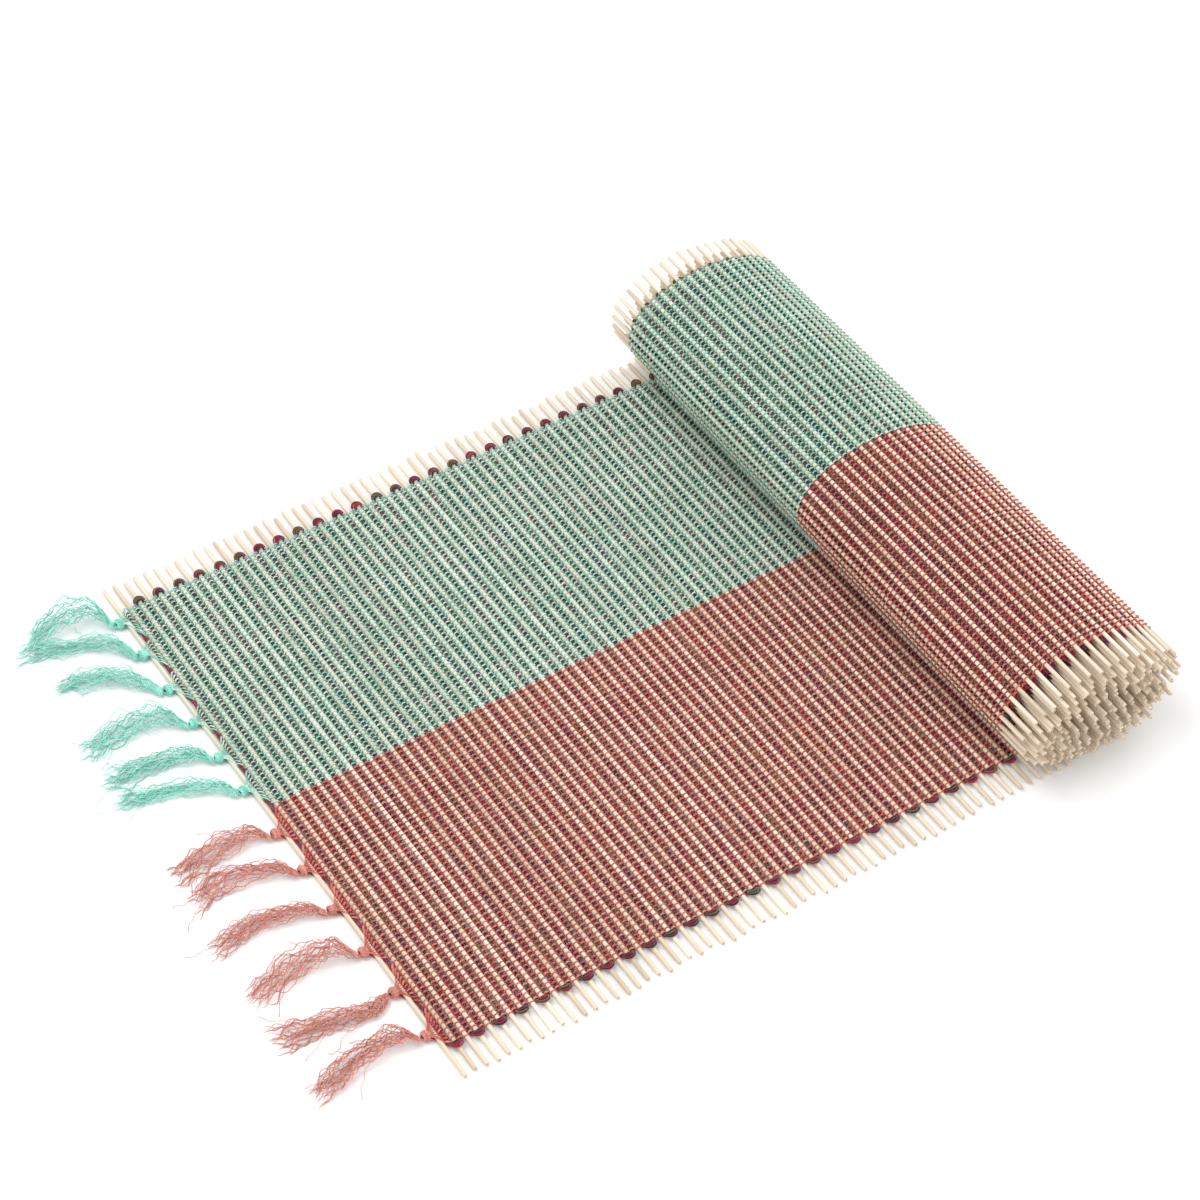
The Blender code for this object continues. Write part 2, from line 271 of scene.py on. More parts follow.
def stretches():
    """The band cut at its bodies' middles: name, start, end, bodies, and the frame's nodes there."""
    first_middle = round((STICKS_PER_STRIP + 1.5) / 2) * PITCH + PITCH / 2
    strips = ["end_strip", "strip_2", "strip_3", "strip_4", "laid_strip"]
    cuts = [first_middle + STRIP_LENGTH * k for k in range(len(strips))]
    found = [("end", 0.0, cuts[0], ("end_strip",), "end_strip")]
    for k, (a, b) in enumerate(zip(strips, strips[1:])):
        node = b if b != "laid_strip" else None
        found.append((f"fold_{k + 1}", cuts[k], cuts[k + 1], (a, b), node))
    found.append(("laid", cuts[-1], TOUCHDOWN, ("laid_strip",), "laid_strip"))
    step = math.pi / UNROLL_HINGES
    hinges = [distance_at((k + 0.5) * step) for k in range(UNROLL_HINGES)]
    edges = [(math.ceil(hinge / PITCH) - 0.5) * PITCH for hinge in hinges]
    middles = [TOUCHDOWN, *((a + b) / 2 for a, b in zip(edges, edges[1:])), distance_at(math.pi)]
    opening = ["laid_strip", *(f"wrap_{k}" for k in range(1, UNROLL_HINGES)), "roll"]
    for k, (a, b) in enumerate(zip(opening, opening[1:])):
        node = b if b != "roll" else None
        found.append((f"open_{k + 1}", middles[k], middles[k + 1], (a, b), node))
    outer_end = (math.floor(distance_at(OUTER_END_ANGLE) / PITCH) + 0.5) * PITCH
    found.append(("roll", middles[-1], outer_end, ("roll",), "roll"))
    found.append(("inner", outer_end, BAND_END, ("roll",), "inner_turns"))
    return found


STRETCHES = stretches()


# ---------------------------------------------------------------- mesh making


class Strands:
    """Collects tubes and turns them into one mesh with their shade and twist stored."""

    def __init__(self):
        self.points, self.corners, self.totals, self.tone, self.ply = [], [], [], [], []
        self.count = 0

    def tubes(self, paths, width, height, sides, normal, tone, ply_length=1.6 * MM):
        """Adds tubes along paths (many, stations, 3); width and height are half sizes."""
        many, stations = paths.shape[:2]
        width, height = (np.broadcast_to(v, (many, stations)) for v in (width, height))
        tangent = np.gradient(paths, axis=1)
        tangent /= np.linalg.norm(tangent, axis=-1, keepdims=True) + 1e-12
        side = np.cross(np.broadcast_to(normal, paths.shape), tangent)
        side /= np.linalg.norm(side, axis=-1, keepdims=True) + 1e-12
        up = np.cross(tangent, side)
        around = TURN * np.arange(sides) / sides
        ring = (
            paths[:, :, None]
            + (width[..., None] * np.cos(around))[..., None] * side[:, :, None]
            + (height[..., None] * np.sin(around))[..., None] * up[:, :, None]
        )
        index = self.count + np.arange(many * stations * sides).reshape(many, stations, sides)
        after = np.roll(index, -1, axis=2)
        walls = np.stack([index[:, :-1], after[:, :-1], after[:, 1:], index[:, 1:]], axis=-1)
        self.points.append(ring.reshape(-1, 3))
        run = np.linalg.norm(np.diff(paths, axis=1), axis=-1)
        run = np.concatenate([np.zeros((many, 1)), np.cumsum(run, axis=1)], axis=1) / ply_length
        turned = np.arange(sides + 1) / sides
        near, far = run[:, :-1, None], run[:, 1:, None]
        left, right = turned[:-1], turned[1:]
        ply = np.stack([near + left, near + right, far + right, far + left], axis=-1)
        self.add_faces(walls.reshape(-1, 4), ply.reshape(-1))
        self.add_faces(index[:, 0, ::-1].reshape(-1, sides), np.zeros(many * sides))
        self.add_faces(index[:, -1].reshape(-1, sides), np.zeros(many * sides))
        self.tone.append(np.repeat(np.broadcast_to(tone, (many, stations)).reshape(-1), sides))
        self.count += many * stations * sides

    def add_faces(self, faces, ply):
        """Adds faces of one kind, with the twist at each of their corners."""
        self.corners.append(faces.reshape(-1))
        self.totals.append(np.full(len(faces), faces.shape[1]))
        self.ply.append(ply)

    def build(self, name, material):
        """One object made of every tube so far."""
        points, corners = np.concatenate(self.points), np.concatenate(self.corners)
        totals = np.concatenate(self.totals)
        mesh = bpy.data.meshes.new(name)
        mesh.vertices.add(len(points))
        mesh.vertices.foreach_set("co", points.astype(np.float32).reshape(-1))
        mesh.loops.add(len(corners))
        mesh.loops.foreach_set("vertex_index", corners.astype(np.int32))
        mesh.polygons.add(len(totals))
        starts = np.concatenate([[0], np.cumsum(totals)[:-1]])
        mesh.polygons.foreach_set("loop_start", starts.astype(np.int32))
        mesh.polygons.foreach_set("use_smooth", np.ones(len(totals), bool))
        mesh.update(calc_edges=True)
        for label, domain, values in (("tone", "POINT", self.tone), ("ply", "CORNER", self.ply)):
            stored = mesh.attributes.new(label, "FLOAT", domain)
            stored.data.foreach_set("value", np.concatenate(values).astype(np.float32))
        mesh.materials.append(material)
        obj = bpy.data.objects.new(name, mesh)
        bpy.context.scene.collection.objects.link(obj)
        return obj


def follow(obj, stretch):
    """Rides the stretch's one body; a stretch between two bodies only has its transform applied."""
    _, start, end, bodies, _ = stretch
    if len(bodies) == 1:
        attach(obj, bodies[0])
        return
    places = on_band([start, end], 0.0, 0.0)
    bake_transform(obj)


def wander(place, phases, lengths):
    """A smooth irregular value between about -1 and 1, one row of phases for each thread."""
    total = 0.0
    for k, length in enumerate(lengths):
        total = total + np.sin(TURN * (place / length + phases[..., k : k + 1]))
    return total / len(lengths)


# ---------------------------------------------------------------- finishes

YARN_RELIEF = 0.08 * MM
BAMBOO_RELIEF = 0.06 * MM
GRAIN_STRETCH = (1800.0, 28.0, 1800.0)

# The tint of the sticks under each half of the weave: pinkish under the red, mint under the teal
STICK_TINT_PLAIN, STICK_TINT_PINK, STICK_TINT_MINT = (1.0, 1.0, 1.0), (1.0, 0.955, 0.94), (0.90, 1.0, 1.03)
TINT_REACH = 0.2


def blank_finish(name):
    """A new material, a maker of its nodes, its node tree and its shader."""
    material = bpy.data.materials.new(name)
    material.use_nodes = True
    tree = material.node_tree

    def make(kind, links=None, **settings):
        node = tree.nodes.new(kind)
        for key, value in settings.items():
            setattr(node, key, value)
        for socket, source in (links or {}).items():
            if isinstance(source, bpy.types.NodeSocket):
                tree.links.new(source, node.inputs[socket])
            else:
                node.inputs[socket].default_value = source
        return node

    return material, make, tree, tree.nodes["Principled BSDF"]


def ramp(make, source, stops):
    """A colour ramp over these (place, colour) stops."""
    node = make("ShaderNodeValToRGB", {"Fac": source})
    elements = node.color_ramp.elements
    while len(elements) < len(stops):
        elements.new(0.5)
    for element, (place, colour) in zip(elements, stops):
        element.position = place
        element.color = (*colour, 1.0)
    return node.outputs["Color"]


def ranged(make, source, old, new):
    """A value carried from its old range to a new one."""
    ends = {"From Min": old[0], "From Max": old[1], "To Min": new[0], "To Max": new[1]}
    return make("ShaderNodeMapRange", {"Value": source, **ends}).outputs["Result"]


def noise(make, place, scale, detail, roughness=0.5):
    """Cloudy values between 0 and 1."""
    settings = {"Scale": scale, "Detail": detail, "Roughness": roughness}
    return make("ShaderNodeTexNoise", {"Vector": place, **settings}).outputs["Fac"]


def product(make, a, b, kind="VectorMath"):
    """The product of two colours, or of two plain values with kind Math."""
    return make(f"ShaderNode{kind}", {0: a, 1: b}, operation="MULTIPLY").outputs[0]


def scaled(colour, factor):
    """This colour made darker or lighter."""
    return tuple(min(1.0, c * factor) for c in colour)


def mixed(a, b, share):
    """The colour this share of the way from a to b."""
    return tuple(x * (1 - share) + y * share for x, y in zip(a, b))


def twisted_yarn(name, stops, bump=0.5):
    """Soft plied cotton: colour from the stored tone, twist from the stored ply with painted shade in
    its grooves, and loose fibres.
    """
    material, make, tree, shader = blank_finish(name)
    tone = make("ShaderNodeAttribute", attribute_name="tone").outputs["Fac"]
    ply = make("ShaderNodeAttribute", attribute_name="ply").outputs["Fac"]
    place = make("ShaderNodeTexCoord").outputs["Object"]
    colour = ramp(make, tone, stops)
    groove = make("ShaderNodeMath", {0: product(make, ply, TURN, "Math")}, operation="SINE").outputs[0]
    fibres = noise(make, place, 2600.0, 3.0, 0.6)
    mottle = noise(make, place, 260.0, 2.0)
    # Painted shade: the colour is darkened in the twist's grooves and lightened on its ridges.
    tone_with_painted_shade = ranged(make, groove, (-1.0, 1.0), (0.78, 1.08))
    fleck = ranged(make, mottle, (0.3, 0.7), (0.86, 1.12))
    lit = product(make, colour, product(make, tone_with_painted_shade, fleck, "Math"))
    tree.links.new(lit, shader.inputs["Base Color"])
    height = make("ShaderNodeMath", {0: groove, 1: fibres}, operation="ADD").outputs[0]
    bumped = make("ShaderNodeBump", {"Height": height, "Strength": bump, "Distance": YARN_RELIEF})
    tree.links.new(bumped.outputs["Normal"], shader.inputs["Normal"])
    tree.links.new(ranged(make, fibres, (0.0, 1.0), (0.75, 0.95)), shader.inputs["Roughness"])
    shader.inputs["Sheen Weight"].default_value = 0.25
    shader.inputs["Sheen Roughness"].default_value = 0.5
    shader.inputs["Specular IOR Level"].default_value = 0.2
    return material


def bamboo_finish(name, base):
    """Split bamboo: long fibres, a shade for each stick, a pink or mint tint under each half of the
    weave, and porous tan cut ends.
    """
    material, make, tree, shader = blank_finish(name)
    tone = make("ShaderNodeAttribute", attribute_name="tone").outputs["Fac"]
    cut = make("ShaderNodeAttribute", attribute_name="ply").outputs["Fac"]
    place = make("ShaderNodeTexCoord").outputs["Object"]
    grain = noise(make, product(make, place, GRAIN_STRETCH), 1.0, 3.0, 0.55)
    stain = noise(make, place, 42.0, 2.0)
    pores = noise(make, place, 4200.0, 1.0)
    stick_stops = [
        (0.0, scaled(mixed(base, TAN, 0.34), 0.92)),
        (0.3, mixed(base, TAN, 0.10)),
        (0.7, base),
        (1.0, scaled(mixed(base, SUNLIT, 0.35), 1.04)),
    ]
    colour = ramp(make, tone, stick_stops)
    streak = ranged(make, grain, (0.3, 0.72), (0.84, 1.07))
    blotch = ranged(make, stain, (0.3, 0.7), (0.93, 1.05))
    across = make("ShaderNodeSeparateXYZ", {"Vector": place}).outputs["Y"]
    share = ranged(make, across, (-TINT_REACH, TINT_REACH), (0.0, 1.0))
    low, seam, high = ((y + TINT_REACH) / (2 * TINT_REACH) for y in (WEAVE_LOW, SEAM_Y, WEAVE_HIGH))
    tint_stops = [
        (low - 0.004, STICK_TINT_PLAIN),
        (low, STICK_TINT_PINK),
        (seam - 0.002, STICK_TINT_PINK),
        (seam + 0.002, STICK_TINT_MINT),
        (high, STICK_TINT_MINT),
        (high + 0.004, STICK_TINT_PLAIN),
    ]
    toned = product(make, colour, ramp(make, share, tint_stops))
    side = product(make, toned, product(make, streak, blotch, "Math"))
    face_stops = [(0.36, scaled(TAN, 0.35)), (0.5, scaled(TAN, 1.25)), (0.62, mixed(TAN, base, 0.75))]
    face = ramp(make, pores, face_stops)
    blended = make("ShaderNodeMix", data_type="RGBA")
    for socket, source in ((0, cut), (6, side), (7, face)):
        tree.links.new(source, blended.inputs[socket])
    tree.links.new(blended.outputs[2], shader.inputs["Base Color"])
    bumped = make("ShaderNodeBump", {"Height": grain, "Strength": 0.35, "Distance": BAMBOO_RELIEF})
    tree.links.new(bumped.outputs["Normal"], shader.inputs["Normal"])
    tree.links.new(ranged(make, grain, (0.0, 1.0), (0.42, 0.68)), shader.inputs["Roughness"])
    shader.inputs["Specular IOR Level"].default_value = 0.35
    return material


def finishes():
    """The six finishes, made once."""
    made = {key: bpy.data.materials.get(name) for key, name in FINISH_NAMES.items()}
    if all(made.values()):
        return made
    colours = bpy.context.scene.runner_colours
    teal, red = tuple(colours.teal), tuple(colours.red)
    # Warp tone ramps: a warp reaches the pale end as painted light where it rises over a stick, and the
    # dark end partly as painted shade where it dips under.
    teal_stops = [
        (0.0, scaled(teal, 0.75)),
        (0.3, teal),
        (0.65, mixed(teal, PALE_MINT, 0.5)),
        (1.0, PALE_MINT),
    ]
    red_stops = [(0.0, scaled(red, 0.6)), (0.3, red), (0.65, mixed(red, SALMON, 0.6)), (1.0, SALMON)]
    # The weft's dyes; its near-black stops carry painted shade for the gaps between the sticks as well
    # as the yarn's dark dye.
    dye_and_painted_shade_stops = [
        (0.0, NIGHT),
        (0.22, INK),
        (0.36, PLUM),
        (0.48, CRIMSON),
        (0.60, PLUM),
        (0.74, OLIVE),
        (0.84, MOSS),
        (0.94, NIGHT),
    ]
    aqua, coral = tuple(colours.teal_fringe), tuple(colours.red_fringe)
    # Tassel strands differ in tone at random; the palest, mixed toward pale mint or pale coral, are
    # painted highlights.
    aqua_stops = [(0.0, scaled(aqua, 0.72)), (0.5, aqua), (1.0, mixed(aqua, PALE_MINT, 0.35))]
    coral_stops = [(0.0, scaled(coral, 0.72)), (0.5, coral), (1.0, mixed(coral, PAINTED_HIGHLIGHT_CORAL, 0.45))]
    return {
        "bamboo": bamboo_finish(FINISH_NAMES["bamboo"], tuple(colours.bamboo)),
        "teal_cotton": twisted_yarn(FINISH_NAMES["teal_cotton"], teal_stops),
        "red_cotton": twisted_yarn(FINISH_NAMES["red_cotton"], red_stops),
        "weft": twisted_yarn(FINISH_NAMES["weft"], dye_and_painted_shade_stops, bump=0.7),
        "teal_fringe": twisted_yarn(FINISH_NAMES["teal_fringe"], aqua_stops),
        "red_fringe": twisted_yarn(FINISH_NAMES["red_fringe"], coral_stops),
    }


# ---------------------------------------------------------------- sticks

STICK_SEED = 1000
STICK_SIDES = 12
HALF_STICK = np.array([0.0, 0.0005, 0.0022, 0.04, 0.1, 0.17, 0.25, 0.34, 0.42, 0.5])
STICK_STATIONS = np.concatenate([HALF_STICK, 1 - HALF_STICK[-2::-1]])
STICK_END_SHARE = np.array([0.70, 0.93, 1.0])

# How far the roll's sticks and yarns have slipped sideways, and over which lengths (or how many
# sticks) they do so
ROLL_OVERHANG = 3.2 * MM
INNER_PULL = 7.0 * MM
ROLL_SPREAD = 4.0 * MM
ROLL_EASE = 45 * MM
ROLL_EASE_STICKS = 6
INNER_EASE = 60 * MM
INNER_START = distance_at(INNER_SLIP_ANGLE)


def stick_paths(numbers, stagger):
    """Paths, radii and shades of the sticks with these numbers."""
    places = numbers * PITCH
    ends, bends, tones, sizes = [], [], [], []
    for n in numbers:
        draw = np.random.default_rng(STICK_SEED + int(n))
        rolled = np.clip((n - LAID_STICKS) / ROLL_EASE_STICKS, 0, 1)
        inner = np.clip((n * PITCH - INNER_START) / INNER_EASE, 0, 1)
        spread = stagger * np.array([0.7 + 0.6 * inner, 0.7 + 0.1 * rolled])
        shift = (draw.normal(0, 1, 2) * spread).clip(-2.4 * stagger, 2.4 * stagger)
        low = -STICK_LENGTH / 2 - 0.4 * MM * rolled - ROLL_OVERHANG * inner
        high = STICK_LENGTH / 2 + 1.2 * ROLL_OVERHANG * rolled - INNER_PULL * inner
        ends.append((low + shift[0], high + shift[1]))
        bends.append(draw.normal(0, 0.12 * MM, 2))
        tones.append(draw.uniform(0, 1))
        sizes.append(draw.normal(0.97, 0.03))
    ends, bends = np.array(ends), np.array(bends)
    across = ends[:, :1] + (ends[:, 1:] - ends[:, :1]) * STICK_STATIONS
    bow = np.sin(math.pi * STICK_STATIONS) * bends[:, :1]
    bow = bow + np.sin(TURN * STICK_STATIONS) * bends[:, 1:]
    paths = on_band(places[:, None] + bow, across, 0.15 * bow)
    radius = np.ones(len(STICK_STATIONS))
    radius[:3], radius[-3:] = STICK_END_SHARE, STICK_END_SHARE[::-1]
    radius = STICK_RADIUS * radius * np.clip(np.array(sizes), 0.88, 1.0)[:, None]
    return paths, radius, np.array(tones)[:, None]


def drifted(distance, across):
    """Place across of the yarns, which lie a little further out towards +Y in the roll."""
    rolled = np.clip((np.asarray(distance) - TOUCHDOWN) / ROLL_EASE, 0, 1)
    inner = np.clip((np.asarray(distance) - INNER_START) / INNER_EASE, 0, 1)
    outer_side = np.clip(np.asarray(across) / WEAVE_HIGH + 0.35, 0, 1)
    return across + ROLL_SPREAD * rolled * (1 - 1.4 * inner) * outer_side


def sticks_in(start, end):
    """Numbers of the sticks that lie on this stretch."""
    first = 0 if start == 0 else math.ceil(start / PITCH - 1e-6)
    return np.arange(first, math.ceil(end / PITCH - 1e-6))


class RUNNER_OT_sticks(bpy.types.Operator):
    """Lay every bamboo stick of the band, flat and rolled"""

    bl_idname = "runner.sticks"
    bl_label = "Bamboo Sticks"

    def execute(self, context):
        stagger = context.scene.runner_sizes.stick_stagger
        for stretch in STRETCHES:
            name, start, end, _, node = stretch
            made = Strands()
            paths, radius, tones = stick_paths(sticks_in(start, end), stagger)
            made.tubes(paths, radius, radius, STICK_SIDES, (1.0, 0.0, 0.0), tones)
            sides, *cuts = made.ply
            made.ply = [np.zeros(len(sides)), *(np.ones(len(cut)) for cut in cuts)]
            obj = made.build(f"{name}_sticks", finishes()["bamboo"])
            follow(obj, stretch)
            if node:
                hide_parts(f"{node}_slats")
            if name == "end":
                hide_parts("end_stick")
        return {"FINISHED"}


# ---------------------------------------------------------------- warps

# The way of one warp over a stick and under the weft on each side of it, given for sticks 5.35 mm
# apart: distances from the stick, and rises
GIVEN_PITCH = 5.35 * MM
WARP_ALONG = np.array([-2.675, -1.98, -1.02, 0.0, 1.02, 1.98, 2.675]) * MM * PITCH / GIVEN_PITCH
WARP_RISE = np.array([-0.80, -0.56, 0.82, 1.33, 0.82, -0.56, -0.80]) * MM
OVER_STICK = 1.30 * MM
CUT_MARGIN = 0.2 * MM

ZONES = {"teal": (SEAM_Y, WEAVE_HIGH), "red": (WEAVE_LOW, SEAM_Y)}
WARP_SEEDS = {"teal": 21, "red": 22}
WARP_SWELL = {"teal": 0.06, "red": -0.32}
EDGE_THREADS = 10
EDGE_ZONE = 9 * MM

# Places across of the knots, and how the warps gather to them: distances from the end stick, the
# share of their own spacing that they keep, and the share of the way to the knot
KNOTS = {
    "teal": np.array([20.1, 43.2, 67.5, 92.1, 117.5, 141.0]) * MM,
    "red": np.array([-139.0, -112.5, -87.0, -60.0, -34.0, -9.5]) * MM,
}
KNOT_X = -3.75 * MM
LEAD_PLACES = np.array([-4.2, -2.4, -1.1]) * MM
GATHER_PLACES = np.array([-4.2, -2.4, -1.0, 0.0, 1.2, 2.7, 4.2, 5.6]) * MM
GATHER_SHARES = [0.05, 0.12, 0.26, 0.38, 0.58, 0.84, 0.98, 1.0]
DRIFT_PLACES = np.array([0.0, 1.5, 5.0]) * MM
DRIFT_SHARES = [1.0, 0.8, 0.0]


def warp_rise(distance):
    """Rise of a warp that goes over the sticks; the other set takes the opposite sign."""
    local = (distance + PITCH / 2) % PITCH - PITCH / 2
    return np.interp(local, WARP_ALONG, WARP_RISE)


def stations(start, end):
    """Distances along the band at which a warp is given its place."""
    first, last = math.floor(start / PITCH) - 1, math.ceil(end / PITCH) + 1
    grid = [n * PITCH + along for n in range(first, last) for along in WARP_ALONG[:-1]]
    grid = np.unique(np.round(grid, 7))
    grid = grid[(grid > start + CUT_MARGIN) & (grid < end - CUT_MARGIN)]
    return np.concatenate([[start], grid, [end]])


def warp_threads(colour, count):
    """Places across, phases, shades and sets of one colour's warps, from -Y to +Y."""
    low, high = ZONES[colour]
    draw = np.random.default_rng(WARP_SEEDS[colour])
    spaced = (np.arange(count) + 0.5) / count
    across = low + (high - low) * spaced
    edge = across > high - EDGE_ZONE if colour == "teal" else across < low + EDGE_ZONE
    outer = high if colour == "teal" else low
    across = np.where(edge, outer + (across - outer) * 0.93, across)
    phases = draw.uniform(0, 1, (count, 3))
    tones = draw.uniform(0.12, 0.62, count)
    return across, phases, tones, np.arange(count) % 2


def gathered(distance, across, knots):
    """Places across of the warps as they gather from the weave into their knots."""
    groups = np.array_split(np.arange(len(across)), len(knots))
    own_knot = np.concatenate([np.full(len(g), y) for g, y in zip(groups, knots)])
    middle = np.concatenate([np.full(len(g), across[g].mean()) for g in groups])
    share = np.interp(distance, GATHER_PLACES, GATHER_SHARES)
    drift = np.interp(distance, DRIFT_PLACES, DRIFT_SHARES)
    return middle[:, None] + (own_knot - middle)[:, None] * drift + (across - middle)[:, None] * share


class RUNNER_OT_warps(bpy.types.Operator):
    """Weave the teal and the red warps over and under the sticks, and gather their ends"""

    bl_idname = "runner.warps"
    bl_label = "Warps"

    def execute(self, context):
        sizes = context.scene.runner_sizes
        for colour, (low, high) in ZONES.items():
            count = 2 * round(sizes.warp_count * (high - low) / (WEAVE_HIGH - WEAVE_LOW) / 2)
            threads = warp_threads(colour, count)
            half_width = getattr(sizes, f"{colour}_width") / 2
            for stretch in STRETCHES:
                self.weave(stretch, colour, threads, half_width, sizes.warp_height / 2)
        return {"FINISHED"}

    def weave(self, stretch, colour, threads, half_width, half_height):
        """One stretch of one colour's warps."""
        name, start, end, _, node = stretch
        across, phases, tones, under = threads if name != "inner" else self.edges_only(threads, colour)
        places = stations(start, end)
        if name == "end":
            places = np.concatenate([LEAD_PLACES, places])
        way = np.where(under == 1, -1.0, 1.0)[:, None]
        rises = warp_rise(places) * way
        if name == "end":
            parted = np.interp(places, [-4.2 * MM, 0], [0.15 * MM, 1.3 * MM]) * way
            lifted = np.interp(places, [-3.5 * MM, 0], [0.7 * MM, 0])
            rises = np.where(places < 0, parted + lifted, rises)
            spots = gathered(places, across, KNOTS[colour])
            spread = np.interp(places, [-2 * MM, 4 * MM], [0.55, 1.0])
        else:
            spots = np.broadcast_to(across[:, None], (len(across), len(places)))
            spread = 1.0
        loose = wander(places, phases, (61 * MM, 23 * MM, 9.7 * MM))
        spots = spots + 0.22 * MM * loose * np.clip(places / (6 * MM), 0, 1)
        rises = rises + 0.05 * MM * wander(places, phases[:, ::-1], (17 * MM, 7.3 * MM, 31 * MM))
        uneven = wander(places, phases + 0.37, (13 * MM, 5.1 * MM, 41 * MM))
        width = np.maximum(half_width * spread * (1 + 0.16 * uneven), 0.25 * MM)
        width = width * (1 + WARP_SWELL[colour] * np.cos(TURN * places / PITCH))
        # Painted light: each warp's random tone is made lighter where it rises over a stick and darker
        # where it dips under one.
        painted_rise_light = 0.16 * (rises / OVER_STICK)
        tone_with_painted_shade = np.clip(tones[:, None] + painted_rise_light + 0.12 * loose, 0, 1)
        made = Strands()
        paths = on_band(places, drifted(places, spots), rises)
        made.tubes(paths, width, half_height, 4, inward(places), tone_with_painted_shade)
        slot = f"{colour}_cotton"
        obj = made.build(f"{name}_warps_{colour}", finishes()[slot])
        follow(obj, stretch)
        if node:
            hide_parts(f"{node}_warp_{colour}")
        if name == "end":
            tied = [f"tassel_{colour}_{k}_strands" for k in range(1, len(KNOTS[colour]) + 1)]
            tied.append(f"end_knots_{colour}")

    def edges_only(self, threads, colour):
        """The inner turns keep only the warps near the band's edges, where they can be seen."""
        keep = slice(-EDGE_THREADS, None) if colour == "teal" else slice(0, EDGE_THREADS)
        return [part[keep] for part in threads]


# ---------------------------------------------------------------- weft

WEFT_SEED, LOOP_SEED, DYE_SEED = 5000, 9000, 7
WEFT_STEP = 2.2 * MM
COARSE_STEP = 6.0 * MM
WEFT_PLIES = 3
WEFT_TWIST = 1.1 * MM
LOOP_YARNS = 5
LOOP_STATIONS = 14
LOOP_TONES = [0.47, 0.82, 0.49, 0.52]
DYE_REPEAT = 131 * MM


def dye(run, seed):
    """Shade of the space-dyed yarn at this length along it."""
    phases = np.random.default_rng(seed).uniform(0, 1, (1, 3))
    return (run / DYE_REPEAT + 0.35 * wander(run, phases, (0.31, 0.083, 0.037))[0]) % 1.0


def weft_pick(made, gap, width, coarse):
    """One pick: dyed yarns lying side by side between two sticks and slowly changing places."""
    low, high = WEAVE_LOW + 0.5 * MM, WEAVE_HIGH - 0.5 * MM
    across = np.arange(low, high, COARSE_STEP if coarse else WEFT_STEP)
    draw = np.random.default_rng(WEFT_SEED + gap)
    distance = (gap + 0.5) * PITCH
    run = gap * (high - low) + (across if gap % 2 else -across)
    for ply in range(1 if coarse else WEFT_PLIES):
        turned = TURN * (ply / WEFT_PLIES + across / (31 * MM)) + draw.uniform(0, 0.5)
        sway = 0.58 * width * np.sin(turned)
        rise = 0.14 * width * np.cos(turned)
        path = on_band(distance + sway, drifted(distance, across), rise)[None]
        half = width * (0.5 if coarse else 0.31 * draw.uniform(0.9, 1.1))
        tone = dye(run + 0.37 * ply, DYE_SEED + ply) if gap else np.full(len(across), 0.44 + 0.04 * ply)
        made.tubes(path, half, half, 4, inward(distance), tone[None], ply_length=WEFT_TWIST)


def edge_loop(made, stick, width):
    """The weft's turn over a stick at the selvedge: yarns nested side by side in a half moon."""
    side = 1 if stick % 2 == 0 else -1
    edge = WEAVE_HIGH if side > 0 else -WEAVE_LOW
    draw = np.random.default_rng(LOOP_SEED + stick)
    t = np.linspace(0, 1, LOOP_STATIONS)
    arc = np.sin(math.pi * t)
    for k in range(LOOP_YARNS):
        nest = (k + 0.05) / (LOOP_YARNS - 0.6)
        half_span = PITCH * (0.28 + 0.26 * nest)
        along = stick * PITCH - half_span * np.cos(math.pi * t) + draw.normal(0, 0.15 * MM)
        reach = (0.9 + 2.9 * nest) * MM * arc**0.7
        out = side * (edge - 0.8 * MM + reach + draw.normal(0, 0.08) * MM)
        over = (0.05 + (1.85 - 0.35 * nest) * arc**0.6 + 0.1 * draw.uniform()) * MM
        half = 0.30 * width * draw.uniform(0.9, 1.15)
        tone = draw.choice(LOOP_TONES) if k % 2 else draw.uniform(0.1, 0.5)
        path = on_band(along, drifted(along, out), over)[None]
        made.tubes(path, half, half, 6, (0.25, 0.2, 0.95), tone, ply_length=WEFT_TWIST)


class RUNNER_OT_weft(bpy.types.Operator):
    """Lay the space-dyed weft between the sticks, with its loops at both selvedges"""

    bl_idname = "runner.weft"
    bl_label = "Weft and Edge Loops"

    def execute(self, context):
        width = context.scene.runner_sizes.weft_width
        for stretch in STRETCHES:
            name, start, end, *_ = stretch
            made = Strands()
            first, last = (math.ceil(edge / PITCH - 0.5 - 1e-6) for edge in (start, end))
            for gap in range(first, last):
                weft_pick(made, gap, width, name == "inner")
            for stick in sticks_in(start, end):
                if stick > 0:
                    edge_loop(made, stick, width)
            follow(made.build(f"{name}_weft", finishes()["weft"]), stretch)
        return {"FINISHED"}


# ---------------------------------------------------------------- tassels

